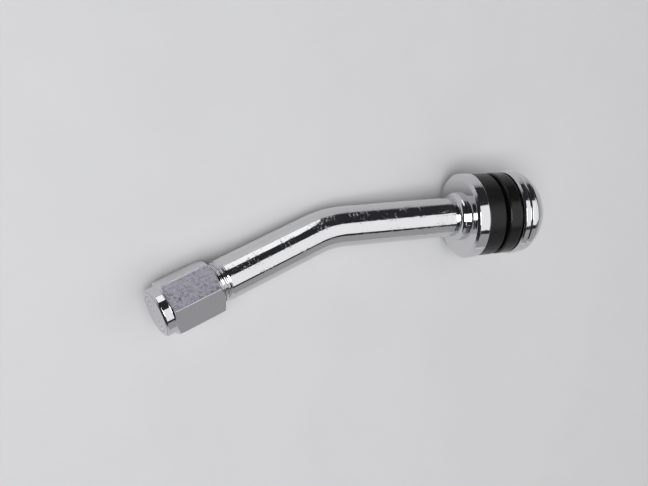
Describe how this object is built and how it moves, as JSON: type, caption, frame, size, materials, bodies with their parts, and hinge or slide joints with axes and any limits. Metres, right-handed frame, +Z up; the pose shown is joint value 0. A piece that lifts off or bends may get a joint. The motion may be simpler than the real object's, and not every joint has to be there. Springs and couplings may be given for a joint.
{
  "type": "tyre valve",
  "caption": "Bent chromed tyre valve with a hexagonal dust cap, a flange, rubber rim seals, a washer and a domed clamp nut, and a sprung valve core inside the stem.",
  "frame": {"origin": "on the axis of the stem's base, where the outer rubber's face meets the rim", "axes": "+Z up from the surface that the valve lies on, +X along the valve towards the clamp nut, with the cap bent towards -Y"},
  "size_m": [0.0825, 0.0237, 0.0189],
  "materials": {
    "chrome_stem": "mirror chrome plating with a faint orange peel and a few pits",
    "chrome_plate": "mirror chrome plating over a turned plate",
    "chrome_nut": "mirror chrome plating over turned aluminium",
    "chrome_cap": "chrome plating over aluminium, with scuffed flats",
    "rubber": "satin black moulded rubber",
    "gasket_rubber": "matt black rubber",
    "core_brass": "turned brass",
    "core_seal": "black seal rubber",
    "spring_steel": "drawn spring wire"
  },
  "bodies": {
    "stem": {"stem": "chrome_stem", "flange_washer": "chrome_plate", "outer_rubber": "rubber", "inner_rubber": "rubber", "core_plug": "core_brass", "core_barrel": "core_brass", "core_barrel_seal": "core_seal", "core_spring": "spring_steel"},
    "cap_seal": {"cap_gasket": "gasket_rubber"},
    "cap": {"dust_cap": "chrome_cap"},
    "pin": {"core_pin": "core_brass", "core_spring_guide": "core_brass", "core_cup": "core_brass", "core_seat_seal": "core_seal"},
    "clamp": {"clamp_washer": "chrome_plate"},
    "nut": {"dome_nut": "chrome_nut"}
  },
  "joints": [
    {"name": "cap_lift", "type": "slide", "parent": "stem", "child": "cap_seal", "axis": [-0.9541, -0.2939, 0.0582], "range_m": [0, 0.00873]},
    {"name": "cap_turn", "type": "hinge", "parent": "cap_seal", "child": "cap", "pos_m": [-0.06676, -0.01005, -0.00367], "axis": [-0.9541, -0.2939, 0.0582], "range_deg": [0, 3962]},
    {"name": "pin_press", "type": "slide", "parent": "stem", "child": "pin", "axis": [0.9541, 0.2939, -0.0582], "range_m": [0, 0.0015], "stiffness_N_per_m": 400, "deforming": ["core_spring"]},
    {"name": "clamp_back", "type": "slide", "parent": "stem", "child": "clamp", "axis": [0.9865, 0, 0.1636], "range_m": [0, 0.0038]},
    {"name": "nut_turn", "type": "hinge", "parent": "clamp", "child": "nut", "pos_m": [0, 0, 0], "axis": [0.9865, 0, 0.1636], "range_deg": [0, 1370]}
  ],
  "couplings": [
    {"joint": "cap_turn", "follows": "cap_lift", "rad_per_m": 7913.3},
    {"joint": "nut_turn", "follows": "clamp_back", "rad_per_m": 6283.2}
  ]
}
